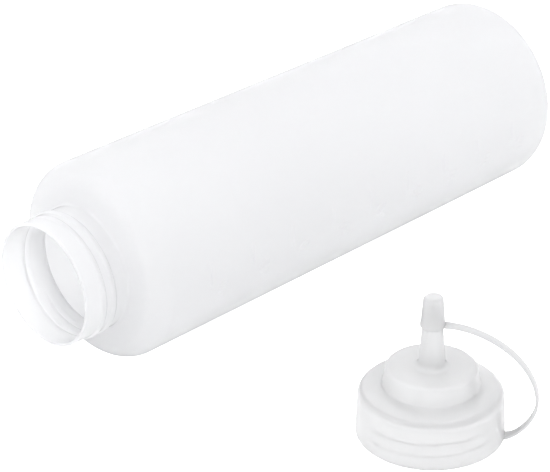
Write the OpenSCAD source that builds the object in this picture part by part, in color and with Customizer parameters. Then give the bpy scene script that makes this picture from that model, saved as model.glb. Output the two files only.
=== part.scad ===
// Squeeze sauce bottle lying open beside its screw cap, which has a nozzle
// and a small tip cap held by a moulded strap.
// Units are millimetres, +Z is up, the origin is the bottom centre of the whole part.

/* [Bottle] */
// Outside diameter of the body
body_d = 70; // [60:1:84]
// Mouth to standing ring
bottle_l = 224; // [180:1:270]
// Wall of the body and of the neck
wall = 1.1; // [0.9:0.1:1.8]
// Rounding of the base edge
base_r = 4.5; // [3:0.5:8]
// Width of the flat ring that the bottle stands on
ring_w = 2.5; // [1.5:0.5:4]
// Depth of the dished middle of the base
dish_h = 3; // [1:0.5:5]

/* [Neck and shoulder] */
// Outside diameter of the neck between its thread ridges
neck_d = 43.3; // [38:0.1:46]
// Mouth to shoulder
neck_l = 18.1; // [15:0.1:24]
// Rounding between shoulder and body
shoulder_r = 7.5; // [5:0.5:11]
// Slope of the shoulder face in degrees
shoulder_slope = 8; // [3:1:20]
// Hollow rounding at the foot of the neck
neck_fillet = 1; // [0.5:0.1:2]

/* [Screw cap] */
// Outside diameter at the foot of the skirt
cap_d = 47.9; // [46:0.1:54]
// Height of the skirt up to its edge
skirt_h = 15.4; // [13:0.1:20]
// How much narrower the skirt is at its edge, on each side
skirt_draft = 0.5; // [0.2:0.1:1]
// Rounding of the edge above the skirt
edge_r = 3.4; // [2:0.1:4]
// Room for the threads between neck and skirt, on each side
thread_room = 1; // [0.8:0.05:1.4]
// Wall over the mouth
deck_t = 1.4; // [1:0.1:2]
// Diameter of the dome where it leaves the deck
dome_d = 31.4; // [26:0.1:34]
// Height of the dome's foot above the skirt's edge
deck_rise = 2.5; // [1.5:0.1:4]
// Height of the dome above its foot
dome_h = 5.9; // [4:0.1:9]
// Rounding of the dome's top edge
dome_r = 1.3; // [0.8:0.1:2]
// Depth of the ring under the deck
inner_ring_h = 1.1; // [0.5:0.1:3]

/* [Nozzle] */
// Diameter of the cone just above its flared foot
nozzle_foot_d = 8.6; // [7.6:0.1:10]
// Diameter of the cone where the tip cap begins
nozzle_mid_d = 6.66; // [6:0.02:7.4]
// Height of that place above the dome
nozzle_mid_h = 14.2; // [12:0.1:20]
// Outside diameter at the outlet
nozzle_tip_d = 4.4; // [4:0.1:4.8]
// Height of the outlet above that place
nozzle_tip_h = 6; // [5.4:0.1:6.6]
// Diameter of the outlet
outlet_d = 2.5; // [1.5:0.1:3]
// Hollow rounding of the foot
foot_r = 2; // [1:0.1:3]

/* [Tip cap] */
// Outside diameter of its rim
rim_d = 8.1; // [7.8:0.1:9.4]
// Length from rim to tip
tip_l = 10.6; // [10:0.1:13]
// Outside diameter near the tip
tip_d = 6.5; // [6.3:0.1:7.4]
// Height of the bead at the rim
bead_h = 1.6; // [1:0.1:2.2]
// How far the bead stands out
bead_t = 0.2; // [0.1:0.05:0.4]
// Clearance to the nozzle at the rim, on each side
rim_gap = 0.17; // [0.12:0.01:0.25]

/* [Strap] */
// Width of the strip
strap_w = 3; // [2:0.1:5]
// Thickness of the strip
strap_t = 1; // [0.7:0.05:1.4]
// Farthest reach of the loop from the nozzle's axis
loop_reach = 34.2; // [30:0.1:44]
// Height of the farthest point of the loop
loop_h = 14; // [10:0.5:20]
// Direction of the loop around the cap in degrees
loop_turn = 123; // [95:1:165]
// Clearance between the strip and the tip cap's rim
strap_gap = 0.3; // [0.2:0.05:0.5]

/* [Place of the cap] */
// Distance between the bottle's axis and the cap's axis
cap_side = 113.3; // [90:0.1:150]
// Distance of the cap's axis back from the mouth
cap_back = 63.6; // [30:0.1:110]

/* [Hidden] */
$fn = 96;

body_r = body_d / 2;
neck_r = neck_d / 2;
cap_r = cap_d / 2;
bore_r = neck_r + thread_room;

// place of everything, with the origin at the bottom centre of the whole
loop_side = loop_reach * sin(loop_turn) + strap_w / 2 * abs(cos(loop_turn));
side_hi = cap_side + max(cap_r, loop_side);
bottle_y = body_r - (side_hi + body_r) / 2;
cap_y = bottle_y + cap_side;
mouth_x = bottle_l / 2;
cap_x = mouth_x - cap_back;

// shoulder: a cone that runs tangent into the corner rounding
corner_x = body_r - shoulder_r;
corner_run = corner_x + shoulder_r * sin(shoulder_slope) - neck_r;
corner_s = neck_l + shoulder_r * cos(shoulder_slope) + corner_run * tan(shoulder_slope);
fillet_s = neck_l + neck_fillet * tan(shoulder_slope) - neck_fillet / cos(shoulder_slope);

// heights of the cap
deck_z = skirt_h + deck_rise;
dome_z = deck_z + dome_h;
dome_foot_r = dome_d / 2;
dome_top_r = dome_foot_r - 0.9;
under_z = skirt_h - deck_t - 0.4;
mid_z = dome_z + nozzle_mid_h;
tip_z = mid_z + nozzle_tip_h;
mid_r = nozzle_mid_d / 2;
outlet_r = outlet_d / 2;

// tip cap, which starts a little above the cone's middle
rim_z = mid_z + 0.2;
rim_in = mid_r + rim_gap;
rim_r = rim_d / 2;
tip_r = tip_d / 2;
top_z = rim_z + tip_l;
roof_z = top_z - 1.6;

// middle line of the strap, from the tip cap over the far point to the skirt
strap_a = [rim_r + strap_gap + 0.02, rim_z + strap_t / 2 + 0.1];
strap_b = [loop_reach - strap_t / 2, loop_h];
strap_c = [cap_r - 0.6, strap_t / 2];
upper_h = strap_a[1] - loop_h;
lower_h = loop_h - strap_c[1];

function arc(c, r, a0, a1, n = 8) =
  [for (i = [0 : n]) let (a = a0 + (a1 - a0) * i / n) c + r * [cos(a), sin(a)]];

function curve(p, t) =
  pow(1 - t, 3) * p[0] + 3 * t * pow(1 - t, 2) * p[1] + 3 * t * t * (1 - t) * p[2] + pow(t, 3) * p[3];

function slope(p, t) =
  pow(1 - t, 2) * (p[1] - p[0]) + 2 * t * (1 - t) * (p[2] - p[1]) + t * t * (p[3] - p[2]);

function side(p, t, off) =
  let (d = slope(p, t) / norm(slope(p, t))) curve(p, t) + off * [-d[1], d[0]];

upper = [
  strap_a,
  strap_a + [(strap_b[0] - strap_a[0]) * 0.5, 0],
  strap_b + [0, upper_h * 0.53],
  strap_b
];
lower = [
  strap_b,
  strap_b - [0, lower_h * 0.46],
  [strap_c[0] + (strap_b[0] - strap_c[0]) * 0.4, strap_c[1]],
  strap_c
];

function edge(off) = concat(
  [for (i = [0 : 24]) side(upper, i / 24, off)],
  [for (i = [1 : 18]) side(lower, i / 18, off)]
);

// bottle skin at a depth under its outside, from the mouth to the base's edge
function skin(d) = concat(
  [[neck_r - d, 0]],
  arc([neck_r + neck_fillet, fillet_s], neck_fillet + d, 180, 90 + shoulder_slope, 4),
  arc([corner_x, corner_s], shoulder_r - d, shoulder_slope - 90, 0, 9),
  arc([body_r - base_r, bottle_l - base_r], base_r - d, 0, 90, 6)
);

// dished base at a depth under its outside, from the ring to the middle
dish_r = body_r - base_r - ring_w;
function dish(d) =
  [for (i = [0 : 5]) let (u = 1 - i / 5) [dish_r * u, bottle_l - d - dish_h * (1 - u * u)]];

module bottle() {
  color([0.93, 0.94, 0.96])
    translate([mouth_x, bottle_y, body_r])
      rotate([0, -90, 0])
        rotate_extrude($fn = 128)
          polygon(concat(
            skin(0),
            dish(0),
            [for (i = [5 : -1 : 0]) dish(wall)[i]],
            [for (i = [len(skin(wall)) - 1 : -1 : 0]) skin(wall)[i]]
          ));
}

// outside of the screw cap from its foot to the outlet
edge_slope = atan2(deck_rise, cap_r - skirt_draft - dome_foot_r);
edge_c = [cap_r - skirt_draft - edge_r, skirt_h - edge_r * tan(45 - edge_slope / 2)];
foot_slope = atan2(nozzle_foot_d / 2 - mid_r, nozzle_mid_h - foot_r);
foot_c = [nozzle_foot_d / 2 + foot_r, dome_z + 0.2 + foot_r];

module screw_cap() {
  color([0.91, 0.92, 0.94])
    translate([cap_x, cap_y, 0])
      rotate_extrude($fn = 128)
        polygon(concat(
          [[cap_r, 0]],
          arc(edge_c, edge_r, 0, 90 - edge_slope, 7),
          [[dome_foot_r + 0.5, deck_z - 0.1]],
          [[dome_foot_r, deck_z + 0.5]],
          arc([dome_top_r - dome_r, dome_z - dome_r], dome_r, 4, 90, 5),
          arc(foot_c, foot_r, 270, 180 + foot_slope, 6),
          [[mid_r, mid_z]],
          [[nozzle_tip_d / 2, tip_z - 0.4]],
          [[nozzle_tip_d / 2 - 0.3, tip_z]],
          [[outlet_r, tip_z]],
          [[outlet_r, tip_z - 2.5]],
          [[nozzle_foot_d / 2 - 1.4, dome_z + 1]],
          [[nozzle_foot_d / 2 + 0.4, dome_z - deck_t]],
          arc([dome_top_r - 2.4, dome_z - deck_t - 0.9], 0.9, 90, 0, 3),
          [[dome_foot_r - 1.6, under_z + 0.8]],
          [[dome_foot_r - 1.6, under_z - inner_ring_h]],
          [[dome_foot_r - 0.6, under_z - inner_ring_h]],
          [[dome_foot_r - 0.2, under_z + 0.6]],
          [[bore_r - 4, under_z]],
          [[bore_r - 1.2, under_z]],
          [[bore_r, under_z - 1.2]],
          [[bore_r, 0]]
        ));
}

module strap() {
  color([0.9, 0.91, 0.93])
    translate([cap_x, cap_y, 0])
      difference() {
        rotate([0, 0, loop_turn])
          rotate([90, 0, 0])
            linear_extrude(strap_w, center = true)
              polygon(concat(
                edge(strap_t / 2),
                [for (i = [len(edge(0)) - 1 : -1 : 0]) edge(-strap_t / 2)[i]]
              ));
        translate([0, 0, -1])
          cylinder(r1 = cap_r, r2 = cap_r, h = skirt_h + 1, $fn = 128);
      }
}

module tip_cap() {
  color([0.92, 0.93, 0.95])
    translate([cap_x, cap_y, 0])
      rotate_extrude($fn = 96)
        polygon(concat(
          [[rim_in, rim_z]],
          [[rim_r - 0.15, rim_z]],
          [[rim_r, rim_z + 0.2]],
          [[rim_r, rim_z + bead_h - 0.4]],
          [[rim_r - bead_t, rim_z + bead_h]],
          arc([tip_r - 1.3, top_z - 1.3], 1.3, 5, 90, 6),
          [[0, top_z]],
          [[0, roof_z]],
          [[tip_r - 0.5, roof_z]]
        ));
}

bottle();
screw_cap();
strap();
tip_cap();
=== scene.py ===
"""Milky squeeze sauce bottle lying open beside its nozzle cap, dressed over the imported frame.

Sizes of the object are in millimetres, as in the part's source, and become metres in mm(). Those of the
soft boxes and the camera are in metres.
"""
import math

import bpy
from mathutils import Matrix, Vector


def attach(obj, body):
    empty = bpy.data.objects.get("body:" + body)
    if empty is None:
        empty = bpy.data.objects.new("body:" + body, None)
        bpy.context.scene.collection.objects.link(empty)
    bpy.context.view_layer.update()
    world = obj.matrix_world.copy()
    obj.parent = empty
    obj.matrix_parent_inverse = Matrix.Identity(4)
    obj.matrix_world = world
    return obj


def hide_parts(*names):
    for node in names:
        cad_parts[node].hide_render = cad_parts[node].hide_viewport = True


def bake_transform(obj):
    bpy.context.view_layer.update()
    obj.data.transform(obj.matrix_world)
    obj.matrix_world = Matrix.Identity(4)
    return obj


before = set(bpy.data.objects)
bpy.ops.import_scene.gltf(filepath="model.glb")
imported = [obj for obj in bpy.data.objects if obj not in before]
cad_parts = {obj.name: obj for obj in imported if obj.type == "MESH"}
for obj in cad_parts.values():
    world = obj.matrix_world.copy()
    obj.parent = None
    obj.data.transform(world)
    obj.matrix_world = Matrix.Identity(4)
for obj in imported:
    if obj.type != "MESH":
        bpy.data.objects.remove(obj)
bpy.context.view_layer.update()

# bottle
BODY_R = 35.0
BOTTLE_L = 224.0
WALL = 1.1
NECK_R = 21.65
NECK_L = 18.1
LIP_R = 0.35
NECK_FILLET = 1.0
SHOULDER_R = 7.5
SHOULDER_SLOPE = math.radians(8)
BASE_R = 4.5
RING_W = 2.5
DISH_H = 3.0

# graduations on the bottle's side: the line at each tenth, and the number beside it
TENTHS = 9
TENTH_L = 19.53
ZERO_X = -106.96
LINE_SIZE = (7.6, 0.7)
LINE_ANGLE = 90
NUMBER_SIZE = 6.6
NUMBER_BACK = 6.0
NUMBER_ANGLE = 102
MARK_T = 0.1
MARK_LIFT = 0.04

# screw cap, by radius from its axis and height above its foot
CAP_R = 23.95
SKIRT_H = 15.4
SKIRT_DRAFT = 0.5
EDGE_R = 3.4
BORE_R = NECK_R + 1.0
DECK_T = 1.4
DECK_RISE = 2.5
DECK_Z = SKIRT_H + DECK_RISE
UNDER_Z = SKIRT_H - DECK_T - 0.4
INNER_RING_H = 1.1
DOME_FOOT_R = 15.7
DOME_TOP_R = DOME_FOOT_R - 0.9
DOME_R = 1.3
DOME_Z = DECK_Z + 5.9
FOOT_BREAK = 0.2

# nozzle, with a flare at its foot
NOZZLE_FOOT_R = 4.3
NOZZLE_MID_R = 3.33
NOZZLE_MID_H = 14.2
NOZZLE_TIP_R = 2.2
FLARE_R = 2.0
OUTLET_R = 1.25
MID_Z = DOME_Z + NOZZLE_MID_H
TIP_Z = MID_Z + 6.0

# tip cap, with a bead at its rim
RIM_Z = MID_Z + 0.2
RIM_R = 4.05
RIM_IN = NOZZLE_MID_R + 0.17
BEAD_H = 1.6
BEAD_T = 0.2
TIP_R = 3.25
TIP_ROUND = 1.3
TOP_Z = RIM_Z + 10.6
ROOF_Z = TOP_Z - 1.6

# strap, in the upright plane through the cap's axis that stands at STRAP_TURN
STRAP_W = 3.0
STRAP_T = 1.0
STRAP_TURN = math.radians(123)
LOOP_REACH = 34.2
LOOP_H = 14.0
STRAP_TOP = (RIM_R + 0.32, RIM_Z + STRAP_T / 2 + 0.1)
STRAP_FAR = (LOOP_REACH - STRAP_T / 2, LOOP_H)
STRAP_FOOT = (CAP_R - 0.6, STRAP_T / 2)

# places on the table: the whole is centred, with the cap to the side of the mouth and behind it
CAP_SIDE = 113.3
CAP_BACK = 63.6
LOOP_SIDE = LOOP_REACH * math.sin(STRAP_TURN) + STRAP_W / 2 * abs(math.cos(STRAP_TURN))
MOUTH = Vector((BOTTLE_L / 2, (BODY_R - CAP_SIDE - LOOP_SIDE) / 2, BODY_R))
CAP_X = MOUTH.x - CAP_BACK
CAP_Y = MOUTH.y + CAP_SIDE

# threads, right-handed with one start: the crest's height at an angle, and where the ridge starts
PITCH = 4.23
THREAD_FADE = 30
NECK_THREAD = {"crest": 7.6, "crest_angle": 75, "start": -30, "turns": 1.75, "width": 2.2, "height": 0.7}
CAP_THREAD = {"crest": 2.6, "crest_angle": -57, "start": -57, "turns": 1.6, "width": 2.0, "height": 0.65}

# meshes: steps of a full turn, the longest step along a threaded wall, and what counts as one point
ROUND = 160
THREAD_STEP = 0.3
WELD = 0.005

# table, just under what stands on it, by its whiteness and glow, and room, by its tint and radiance
TABLE_SIDE = 12000
TABLE_DROP = 0.2
TABLE_WHITE = 0.85
TABLE_GLOW = 0.3
ROOM_TINT = (0.99, 0.99, 1.0)
ROOM_SIDE = 1.1
ROOM_TOP = 1.5

# soft boxes: place, side and power in watts
SOFT_BOXES = {
    "mouth_soft_box": ((1.1, -0.35, 0.95), 0.24, 1.4),
    "back_soft_box": ((0.453, -0.689, 0.525), 0.1, 0.5),
    "side_soft_box": ((-0.686, 0.522, 0.5), 0.1, 0.2),
}
SOFT_BOX_AIM = Vector((0, 0, 0.03))

# camera, as fitted to the photograph's outlines
CAMERA_PLACE = (0.4962810, 0.4372685, 0.3730090)
CAMERA_RIGHT = Vector((-0.7026321, 0.7114798, -0.0102300))
CAMERA_UP = Vector((-0.3337852, -0.3168692, 0.8877958))
CAMERA_LOOK = Vector((-0.6284072, -0.6272084, -0.4601239))
LENS = 140.9538
SENSOR_WIDTH = 36.0


def mm(*lengths):
    """Millimetres to metres, one number or a point."""
    out = tuple(v / 1000 for v in lengths)
    return out[0] if len(out) == 1 else out


def ease(t):
    """A smooth rise from 0 to 1."""
    t = min(max(t, 0.0), 1.0)
    return t * t * (3 - 2 * t)


def arc(centre, radius, start, end, steps):
    """Points of an arc in the outline's plane, angles in degrees."""
    out = []
    for i in range(steps + 1):
        a = math.radians(start + (end - start) * i / steps)
        out.append((centre[0] + radius * math.cos(a), centre[1] + radius * math.sin(a)))
    return out


def finely(points, step):
    """The same outline with no span longer than step."""
    out = [points[0]]
    for a, b in zip(points, points[1:]):
        n = max(1, math.ceil(math.dist(a, b) / step))
        for i in range(1, n + 1):
            out.append((a[0] + (b[0] - a[0]) * i / n, a[1] + (b[1] - a[1]) * i / n))
    return out


def bezier(points, t):
    """A point of a curve in the strap's plane, by its four control points."""
    a, b, c, d = points
    k = 1 - t
    return tuple(
        k**3 * a[i] + 3 * t * k * k * b[i] + 3 * t * t * k * c[i] + t**3 * d[i] for i in (0, 1)
    )


# modelling by hand


def nothing_selected():
    if bpy.context.object and bpy.context.object.mode != "OBJECT":
        bpy.ops.object.mode_set(mode="OBJECT")
    bpy.ops.object.select_all(action="DESELECT")


def only(obj):
    """Makes one piece the selected and active one."""
    nothing_selected()
    obj.select_set(True)
    bpy.context.view_layer.objects.active = obj


def single_vertex(name, place):
    """A plane merged into its middle: the start of an outline that is drawn by extruding."""
    nothing_selected()
    bpy.ops.mesh.primitive_plane_add(size=mm(1))
    obj = bpy.context.object
    obj.name = obj.data.name = name
    bpy.ops.object.mode_set(mode="EDIT")
    bpy.ops.mesh.select_all(action="SELECT")
    bpy.ops.mesh.merge(type="CENTER")
    bpy.ops.mesh.select_all(action="SELECT")
    bpy.ops.transform.translate(value=place)
    return obj


def turned(name, outline, closed=False):
    """A lathe-turned shell: the outline of (radius, height) is extruded, then spun about Z."""
    first = outline[0]
    obj = single_vertex(name, (mm(first[0]), 0, mm(first[1])))
    for a, b in zip(outline, outline[1:]):
        move = (mm(b[0] - a[0]), 0, mm(b[1] - a[1]))
        bpy.ops.mesh.extrude_vertices_move(TRANSFORM_OT_translate={"value": move})
    if closed:
        bpy.ops.mesh.select_all(action="SELECT")
        bpy.ops.mesh.remove_doubles(threshold=mm(WELD))
    bpy.ops.mesh.select_all(action="SELECT")
    bpy.ops.mesh.spin(steps=ROUND, angle=math.tau, center=(0, 0, 0), axis=(0, 0, 1))
    bpy.ops.mesh.select_all(action="SELECT")
    bpy.ops.mesh.remove_doubles(threshold=mm(WELD))
    bpy.ops.mesh.normals_make_consistent(inside=False)
    bpy.ops.object.mode_set(mode="OBJECT")
    return obj


def into_place(obj, matrix):
    """Moves a piece to its place and leaves its object at the origin."""
    only(obj)
    obj.matrix_world = matrix
    bpy.ops.object.transform_apply(location=True, rotation=True, scale=True)
    return obj


def smoothed(obj, degrees=35):
    """Shades a piece smooth where its faces meet at less than this angle."""
    only(obj)
    bpy.ops.object.shade_smooth_by_angle(angle=math.radians(degrees))
    return obj


def applied(obj, kind, **settings):
    """Adds a modifier with its settings and applies it."""
    only(obj)
    modifier = obj.modifiers.new(kind.title(), kind)
    for key, value in settings.items():
        setattr(modifier, key, value)
    bpy.ops.object.modifier_apply(modifier=modifier.name)
    return obj


def ridge(thread, angle, height):
    """How far a thread stands out at a height, and at an angle that counts on from turn to turn."""
    end = thread["start"] + 360 * thread["turns"]
    if not thread["start"] <= angle <= end:
        return 0.0
    crest = thread["crest"] + PITCH * (angle - thread["crest_angle"]) / 360
    off = abs(height - crest) / (thread["width"] / 2)
    if off >= 1:
        return 0.0
    rise = ease(min(angle - thread["start"], end - angle) / THREAD_FADE)
    return thread["height"] * rise * (0.5 + 0.5 * math.cos(math.pi * off)) ** 0.75


def cut_thread(obj, thread, follows):
    """Pushes a thread out of the wall: follows says how much a vertex moves, by radius and height."""
    for v in obj.data.vertices:
        radius = math.hypot(v.co.x, v.co.y) * 1000
        height = v.co.z * 1000
        share = follows(radius, height)
        if not share:
            continue
        angle = math.degrees(math.atan2(v.co.y, v.co.x))
        push = max(ridge(thread, angle + 360 * turn, height) for turn in range(-1, 4))
        if push:
            k = (radius + share * push) / radius
            v.co.x *= k
            v.co.y *= k


# finishes


def moulded_skin():
    """Shared effect of moulded polyethylene: slow cloudiness, fine scuffs and soft waviness."""
    group = bpy.data.node_groups.new("moulded_skin", "ShaderNodeTree")
    face = group.interface
    for name, value in (("Cloud Size", 30.0), ("Scuff Size", 400.0), ("Scuffs", 0.06), ("Roughness", 0.4)):
        socket = face.new_socket(name=name, in_out="INPUT", socket_type="NodeSocketFloat")
        socket.default_value = value
    for name in ("Cloud", "Roughness", "Height"):
        face.new_socket(name=name, in_out="OUTPUT", socket_type="NodeSocketFloat")
    nodes, links = group.nodes, group.links
    given, put = nodes.new("NodeGroupInput"), nodes.new("NodeGroupOutput")
    place = nodes.new("ShaderNodeTexCoord")

    cloud = nodes.new("ShaderNodeTexNoise")
    cloud.inputs["Detail"].default_value = 3
    links.new(place.outputs["Object"], cloud.inputs["Vector"])
    links.new(given.outputs["Cloud Size"], cloud.inputs["Scale"])
    links.new(cloud.outputs["Fac"], put.inputs["Cloud"])

    scuff = nodes.new("ShaderNodeTexNoise")
    scuff.inputs["Detail"].default_value = 6
    links.new(place.outputs["Object"], scuff.inputs["Vector"])
    links.new(given.outputs["Scuff Size"], scuff.inputs["Scale"])

    # roughness wanders about its own value with the scuffs
    spread = nodes.new("ShaderNodeMath")
    spread.operation = "SUBTRACT"
    spread.inputs[1].default_value = 0.5
    links.new(scuff.outputs["Fac"], spread.inputs[0])
    rough = nodes.new("ShaderNodeMath")
    rough.operation = "MULTIPLY_ADD"
    links.new(spread.outputs[0], rough.inputs[0])
    links.new(given.outputs["Scuffs"], rough.inputs[1])
    links.new(given.outputs["Roughness"], rough.inputs[2])
    links.new(rough.outputs[0], put.inputs["Roughness"])

    # height is the waviness with a little of the scuffs on it
    height = nodes.new("ShaderNodeMath")
    height.operation = "MULTIPLY_ADD"
    height.inputs[1].default_value = 0.15
    links.new(scuff.outputs["Fac"], height.inputs[0])
    links.new(cloud.outputs["Fac"], height.inputs[2])
    links.new(height.outputs[0], put.inputs["Height"])
    return group


SKIN = moulded_skin()


def milky(name, clear, cloudy, roughness, through, within, depth, bump, gloss=0.0):
    """Natural polyethylene between two tints.

    through is the light that passes the wall, within is what scatters in it to a depth, bump is the height of
    the waviness, and gloss is a smooth coat on top.
    """
    material = bpy.data.materials.new(name)
    material.use_nodes = True
    nodes, links = material.node_tree.nodes, material.node_tree.links
    shader = nodes["Principled BSDF"]
    shader.inputs["IOR"].default_value = 1.5
    shader.inputs["Transmission Weight"].default_value = through
    shader.inputs["Subsurface Weight"].default_value = within
    shader.inputs["Subsurface Scale"].default_value = mm(depth)
    shader.inputs["Subsurface Radius"].default_value = (1.0, 1.0, 1.0)
    shader.inputs["Coat Weight"].default_value = gloss
    shader.inputs["Coat Roughness"].default_value = 0.1

    skin = nodes.new("ShaderNodeGroup")
    skin.node_tree = SKIN
    skin.inputs["Roughness"].default_value = roughness
    tint = nodes.new("ShaderNodeMix")
    tint.data_type = "RGBA"
    tint.inputs[6].default_value = (*clear, 1)
    tint.inputs[7].default_value = (*cloudy, 1)
    links.new(skin.outputs["Cloud"], tint.inputs[0])
    links.new(tint.outputs[2], shader.inputs["Base Color"])
    links.new(skin.outputs["Roughness"], shader.inputs["Roughness"])
    relief = nodes.new("ShaderNodeBump")
    relief.inputs["Distance"].default_value = mm(bump)
    relief.inputs["Strength"].default_value = 0.5
    links.new(skin.outputs["Height"], relief.inputs["Height"])
    links.new(relief.outputs["Normal"], shader.inputs["Normal"])
    return material


BOTTLE_PLASTIC = milky(
    "milky_bottle",
    clear=(0.922, 0.924, 0.93),
    cloudy=(0.937, 0.939, 0.944),
    roughness=0.6,
    through=0.7,
    within=0.0,
    depth=2.0,
    bump=0.12,
)
MARK_PLASTIC = milky(
    "milky_marks",
    clear=(0.905, 0.907, 0.915),
    cloudy=(0.92, 0.922, 0.929),
    roughness=0.55,
    through=0.3,
    within=0.0,
    depth=0.5,
    bump=0.05,
)
# the strap is the cap's own plastic tinted far darker: painted shade that gives the thin strap a grey tone
# and stands in for the cap's shadow at its foot
STRAP_SHADED_PLASTIC = milky(
    "milky_strap_painted_shade",
    clear=(0.6, 0.601, 0.605),
    cloudy=(0.64, 0.641, 0.645),
    roughness=0.45,
    through=0.1,
    within=0.15,
    depth=0.5,
    bump=0.04,
)
CAP_PLASTIC = milky(
    "milky_cap",
    clear=(0.89, 0.892, 0.894),
    cloudy=(0.915, 0.916, 0.918),
    roughness=0.33,
    through=0.63,
    within=0.5,
    depth=1.4,
    bump=0.06,
    gloss=0.35,
)


def finished(obj, material, slot, body, *nodes):
    """Gives a piece its finish, the body that it rides on, and the solids that it is shown in place of."""
    obj.data.materials.clear()
    obj.data.materials.append(material)
    if body:
        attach(obj, body)
    if nodes:
        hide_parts(*nodes)
    return obj


# bottle


def bottle_skin(depth):
    """The bottle's side at a depth under its outside, neck to base, as (radius, place from the mouth)."""
    slope = math.degrees(SHOULDER_SLOPE)
    rise = math.tan(SHOULDER_SLOPE)
    corner_x = BODY_R - SHOULDER_R
    run = corner_x + SHOULDER_R * math.sin(SHOULDER_SLOPE) - NECK_R
    corner_s = NECK_L + SHOULDER_R * math.cos(SHOULDER_SLOPE) + run * rise
    fillet_s = NECK_L + NECK_FILLET * rise - NECK_FILLET / math.cos(SHOULDER_SLOPE)
    return (
        arc((NECK_R + NECK_FILLET, fillet_s), NECK_FILLET + depth, 180, 90 + slope, 8)
        + arc((corner_x, corner_s), SHOULDER_R - depth, slope - 90, 0, 18)
        + arc((BODY_R - BASE_R, BOTTLE_L - BASE_R), BASE_R - depth, 0, 90, 12)
    )


def dish(depth):
    """The dished base, from its ring to its middle."""
    wide = BODY_R - BASE_R - RING_W
    out = []
    for i in range(11):
        u = 1 - i / 10
        out.append((wide * u, BOTTLE_L - depth - DISH_H * (1 - u * u)))
    return out


def neck_follows(radius, place):
    """Only the neck carries its thread, and three quarters of it show inside, as on a blown neck."""
    if place > NECK_L - 1.5:
        return 0.0
    if abs(radius - NECK_R) < 0.2:
        return 1.0
    return 0.75 if abs(radius - (NECK_R - WALL)) < 0.2 else 0.0


def make_bottle():
    """The blown bottle: one wall from the base's middle over the lip and back to it inside."""
    outer, inner = bottle_skin(0), bottle_skin(WALL)
    rim_out = arc((NECK_R - LIP_R, LIP_R), LIP_R, 270, 360, 3)
    rim_in = arc((NECK_R - WALL + LIP_R, LIP_R), LIP_R, 180, 270, 3)
    neck_out = finely([rim_out[-1], outer[0]], THREAD_STEP)
    neck_in = finely([rim_in[0], inner[0]], THREAD_STEP)
    outline = (
        dish(0)[::-1]
        + outer[1:][::-1]
        + neck_out[::-1]
        + rim_out[:-1][::-1]
        + rim_in[::-1][:-1]
        + neck_in
        + inner[1:]
        + dish(WALL)
    )
    bottle = turned("bottle_moulding", outline)
    cut_thread(bottle, NECK_THREAD, neck_follows)
    x, y, z = mm(*MOUTH)
    lying = Matrix(((0, 0, -1, x), (0, 1, 0, y), (1, 0, 0, z), (0, 0, 0, 1)))
    into_place(bottle, lying)
    return finished(smoothed(bottle), BOTTLE_PLASTIC, "bottle_plastic", "bottle", "bottle")


def wrapped_on_body(obj, x, turn):
    """Bends a flat mark round the body, top towards the mouth, at an angle from the body's top line."""
    for v in obj.data.vertices:
        across, up = v.co.x, v.co.y
        a = math.radians(turn) - across / mm(BODY_R)
        r = mm(BODY_R + MARK_LIFT)
        v.co = (mm(x) + up, mm(MOUTH.y) + r * math.sin(a), mm(MOUTH.z) + r * math.cos(a))
    obj.matrix_world = Matrix.Identity(4)
    return obj


def graduation_line(x):
    """The short line of one graduation."""
    nothing_selected()
    bpy.ops.mesh.primitive_plane_add(size=1)
    line = bpy.context.object
    line.scale = (mm(LINE_SIZE[0]), mm(LINE_SIZE[1]), 1)
    bpy.ops.object.transform_apply(location=False, rotation=False, scale=True)
    bpy.ops.object.mode_set(mode="EDIT")
    bpy.ops.mesh.select_all(action="SELECT")
    bpy.ops.mesh.subdivide(number_cuts=11)
    bpy.ops.object.mode_set(mode="OBJECT")
    return wrapped_on_body(line, x, LINE_ANGLE)


def graduation_number(x, text):
    """The number of one graduation."""
    nothing_selected()
    bpy.ops.object.text_add()
    number = bpy.context.object
    number.data.body = text
    number.data.size = mm(NUMBER_SIZE)
    number.data.align_x = "CENTER"
    number.data.align_y = "CENTER"
    bpy.ops.object.convert(target="MESH")
    return wrapped_on_body(number, x - NUMBER_BACK, NUMBER_ANGLE)


def make_graduations():
    """Raised marks down the side, joined into one piece."""
    made = []
    for tenth in range(1, TENTHS + 1):
        x = ZERO_X + TENTH_L * tenth
        made.append(graduation_line(x))
        made.append(graduation_number(x, str(tenth * 10)))
    nothing_selected()
    for obj in made:
        obj.select_set(True)
    bpy.context.view_layer.objects.active = made[0]
    bpy.ops.object.join()
    marks = made[0]
    marks.name = marks.data.name = "graduation_marks"
    applied(marks, "SOLIDIFY", thickness=mm(MARK_T), offset=0.0)
    return finished(smoothed(marks, 50), MARK_PLASTIC, "bottle_plastic", "bottle")


# screw cap, tip cap and strap

CAP_PLACE = Matrix.Translation(mm(CAP_X, CAP_Y, 0))


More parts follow.
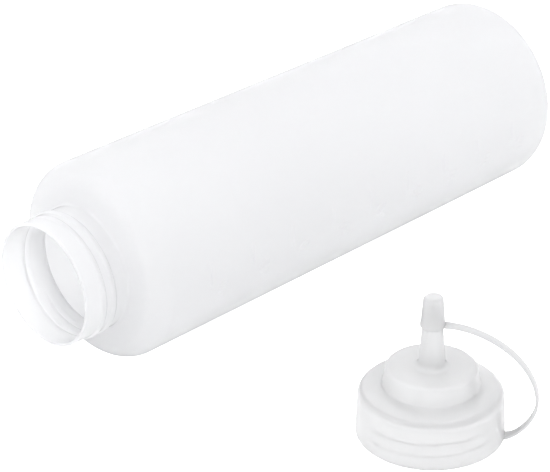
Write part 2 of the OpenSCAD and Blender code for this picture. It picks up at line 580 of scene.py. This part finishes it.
def cap_outside():
    """From the skirt's foot over the deck, the dome and the nozzle to the outlet."""
    skirt_top = CAP_R - SKIRT_DRAFT
    slope = math.degrees(math.atan2(DECK_RISE, skirt_top - DOME_FOOT_R))
    edge = (skirt_top - EDGE_R, SKIRT_H - EDGE_R * math.tan(math.radians(45 - slope / 2)))
    cone = math.degrees(math.atan2(NOZZLE_FOOT_R - NOZZLE_MID_R, NOZZLE_MID_H - FLARE_R))
    flare = (NOZZLE_FOOT_R + FLARE_R, DOME_Z + 0.2 + FLARE_R)
    return (
        [(CAP_R - FOOT_BREAK, 0), (CAP_R, FOOT_BREAK + 0.05)]
        + arc(edge, EDGE_R, 0, 90 - slope, 14)
        + [(DOME_FOOT_R + 0.5, DECK_Z - 0.1), (DOME_FOOT_R + 0.16, DECK_Z + 0.12)]
        + [(DOME_FOOT_R, DECK_Z + 0.5)]
        + arc((DOME_TOP_R - DOME_R, DOME_Z - DOME_R), DOME_R, 4, 90, 10)
        + arc(flare, FLARE_R, 270, 180 + cone, 12)
        + [(NOZZLE_MID_R, MID_Z), (NOZZLE_TIP_R, TIP_Z - 0.4), (NOZZLE_TIP_R - 0.3, TIP_Z)]
        + [(OUTLET_R, TIP_Z)]
    )


def cap_inside():
    """From the outlet down the nozzle, under the dome and the inner ring, to the skirt's foot."""
    return (
        [(OUTLET_R, TIP_Z - 2.5), (NOZZLE_FOOT_R - 1.4, DOME_Z + 1), (NOZZLE_FOOT_R + 0.4, DOME_Z - DECK_T)]
        + arc((DOME_TOP_R - 2.4, DOME_Z - DECK_T - 0.9), 0.9, 90, 0, 6)
        + [(DOME_FOOT_R - 1.6, UNDER_Z + 0.8), (DOME_FOOT_R - 1.6, UNDER_Z - INNER_RING_H)]
        + [(DOME_FOOT_R - 0.6, UNDER_Z - INNER_RING_H), (DOME_FOOT_R - 0.2, UNDER_Z + 0.6)]
        + [(BORE_R - 4, UNDER_Z), (BORE_R - 1.2, UNDER_Z)]
        + finely([(BORE_R, UNDER_Z - 1.2), (BORE_R, 0.3)], THREAD_STEP)
        + [(BORE_R + FOOT_BREAK, 0), (CAP_R - FOOT_BREAK, 0)]
    )


def bore_follows(radius, height):
    """Only the skirt's bore carries its thread, which stands inwards."""
    return -1.0 if abs(radius - BORE_R) < 0.05 and height > 0.4 else 0.0


def make_screw_cap():
    """The screw cap with its nozzle, one moulding."""
    cap = turned("screw_cap_moulding", cap_outside() + cap_inside(), closed=True)
    cut_thread(cap, CAP_THREAD, bore_follows)
    into_place(cap, CAP_PLACE)
    return finished(smoothed(cap), CAP_PLASTIC, "cap_plastic", "cap", "screw_cap")


def make_tip_cap():
    """The tip cap: its socket from the roof to the rim, then its outside up to the top."""
    outline = (
        [(0, ROOF_Z), (TIP_R - 0.5, ROOF_Z), (RIM_IN, RIM_Z), (RIM_R - 0.15, RIM_Z), (RIM_R, RIM_Z + 0.2)]
        + [(RIM_R, RIM_Z + BEAD_H - 0.4), (RIM_R - BEAD_T, RIM_Z + BEAD_H)]
        + arc((TIP_R - TIP_ROUND, TOP_Z - TIP_ROUND), TIP_ROUND, 5, 90, 10)
        + [(0, TOP_Z)]
    )
    tip = turned("tip_cap_moulding", outline)
    into_place(tip, CAP_PLACE)
    return finished(smoothed(tip), CAP_PLASTIC, "cap_plastic", "tip", "tip_cap")


def strap_line():
    """Middle line of the strap, from inside the tip cap's rim over the far point to the skirt's foot."""
    out, down = STRAP_FAR[0] - STRAP_TOP[0], STRAP_TOP[1] - LOOP_H
    back, fall = STRAP_FAR[0] - STRAP_FOOT[0], LOOP_H - STRAP_FOOT[1]
    upper = (
        STRAP_TOP,
        (STRAP_TOP[0] + out * 0.5, STRAP_TOP[1]),
        (STRAP_FAR[0], LOOP_H + down * 0.53),
        STRAP_FAR,
    )
    lower = (
        STRAP_FAR,
        (STRAP_FAR[0], LOOP_H - fall * 0.46),
        (STRAP_FOOT[0] + back * 0.4, STRAP_FOOT[1]),
        STRAP_FOOT,
    )
    line = [(RIM_R - 0.25, STRAP_TOP[1])]
    line += [bezier(upper, i / 40) for i in range(41)]
    line += [bezier(lower, i / 28) for i in range(1, 29)]
    return line


def make_strap():
    """The strap, one edge extruded along its line, that bends between the screw cap and the tip cap."""
    line = strap_line()
    nothing_selected()
    bpy.ops.mesh.primitive_plane_add(size=mm(STRAP_W))
    strap = bpy.context.object
    strap.name = strap.data.name = "loop_strap"
    bpy.ops.object.mode_set(mode="EDIT")
    # fold the plane into one edge across the strip, at the tip cap
    bpy.ops.mesh.select_all(action="SELECT")
    bpy.ops.transform.resize(value=(0, 1, 1))
    bpy.ops.mesh.remove_doubles(threshold=mm(0.01))
    bpy.ops.mesh.select_all(action="SELECT")
    bpy.ops.transform.translate(value=(mm(line[0][0]), 0, mm(line[0][1])))
    for a, b in zip(line, line[1:]):
        move = (mm(b[0] - a[0]), 0, mm(b[1] - a[1]))
        bpy.ops.mesh.extrude_edges_move(TRANSFORM_OT_translate={"value": move})
    bpy.ops.object.mode_set(mode="OBJECT")
    # the strip is a little wider where it meets each moulding
    for v in strap.data.vertices:
        radius, height = v.co.x * 1000, v.co.z * 1000
        at_tip = ease((7.5 - radius) / 3.5) if height > 30 else 0.0
        at_skirt = ease((27.0 - radius) / 3.0) if height < 6 else 0.0
        v.co.y *= 1 + 0.12 * at_tip + 0.25 * at_skirt
    applied(strap, "SOLIDIFY", thickness=mm(STRAP_T - 0.04), offset=0.0)
    applied(
        strap, "BEVEL", width=mm(0.2), segments=2, limit_method="ANGLE", angle_limit=math.radians(50)
    )
    into_place(strap, CAP_PLACE @ Matrix.Rotation(STRAP_TURN, 4, "Z"))
    finished(smoothed(strap, 40), STRAP_SHADED_PLASTIC, "cap_plastic", None, "strap")
    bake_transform(strap)
    return strap


# studio


def make_floor():
    """A white table that the camera sees evenly lit, and that lights the plastic as a real one does."""
    nothing_selected()
    bpy.ops.mesh.primitive_plane_add(size=mm(TABLE_SIDE), location=(0, 0, -mm(TABLE_DROP)))
    floor = bpy.context.object
    floor.name = "floor"
    paper = bpy.data.materials.new("white_table")
    paper.use_nodes = True
    nodes, links = paper.node_tree.nodes, paper.node_tree.links
    shader = nodes["Principled BSDF"]
    shader.inputs["Base Color"].default_value = (TABLE_WHITE, TABLE_WHITE, TABLE_WHITE, 1)
    shader.inputs["Roughness"].default_value = 1.0
    shader.inputs["Specular IOR Level"].default_value = 0.0
    shader.inputs["Emission Color"].default_value = (1, 1, 1, 1)
    path = nodes.new("ShaderNodeLightPath")
    glow = nodes.new("ShaderNodeMapRange")
    glow.inputs["To Min"].default_value = TABLE_GLOW
    glow.inputs["To Max"].default_value = 1.0
    links.new(path.outputs["Is Camera Ray"], glow.inputs["Value"])
    links.new(glow.outputs["Result"], shader.inputs["Emission Strength"])
    floor.data.materials.append(paper)


def soft_box(name, place, side, power):
    """A square area light that faces the object."""
    lamp = bpy.data.lights.new(name, "AREA")
    lamp.shape = "RECTANGLE"
    lamp.size = lamp.size_y = side
    lamp.energy = power
    obj = bpy.data.objects.new(name, lamp)
    bpy.context.scene.collection.objects.link(obj)
    obj.location = place
    obj.rotation_euler = (SOFT_BOX_AIM - Vector(place)).to_track_quat("-Z", "Y").to_euler()


def light_room():
    """A white room that is brighter overhead, and the soft boxes."""
    world = bpy.data.worlds.new("white_room")
    world.use_nodes = True
    nodes, links = world.node_tree.nodes, world.node_tree.links
    sky = nodes["Background"]
    sky.inputs["Color"].default_value = (*ROOM_TINT, 1)
    place, parts = nodes.new("ShaderNodeTexCoord"), nodes.new("ShaderNodeSeparateXYZ")
    rise = nodes.new("ShaderNodeMapRange")
    rise.interpolation_type = "SMOOTHSTEP"
    rise.inputs["To Min"].default_value = ROOM_SIDE
    rise.inputs["To Max"].default_value = ROOM_TOP
    links.new(place.outputs["Generated"], parts.inputs[0])
    links.new(parts.outputs["Z"], rise.inputs["Value"])
    links.new(rise.outputs["Result"], sky.inputs["Strength"])
    bpy.context.scene.world = world
    for name, (where, side, power) in SOFT_BOXES.items():
        soft_box(name, where, side, power)


def make_camera():
    """The camera that took the photograph, as fitted to it."""
    data = bpy.data.cameras.new("camera")
    data.sensor_fit = "HORIZONTAL"
    data.sensor_width = SENSOR_WIDTH
    data.lens = LENS
    data.clip_start, data.clip_end = 0.01, 50
    camera = bpy.data.objects.new("camera", data)
    bpy.context.scene.collection.objects.link(camera)
    turn = Matrix((CAMERA_RIGHT, CAMERA_UP, -CAMERA_LOOK)).transposed().to_4x4()
    camera.matrix_world = Matrix.Translation(CAMERA_PLACE) @ turn
    bpy.context.scene.camera = camera


bpy.context.scene.view_settings.view_transform = "Standard"
make_camera()
make_floor()
light_room()
make_bottle()
make_graduations()
make_screw_cap()
make_tip_cap()
make_strap()
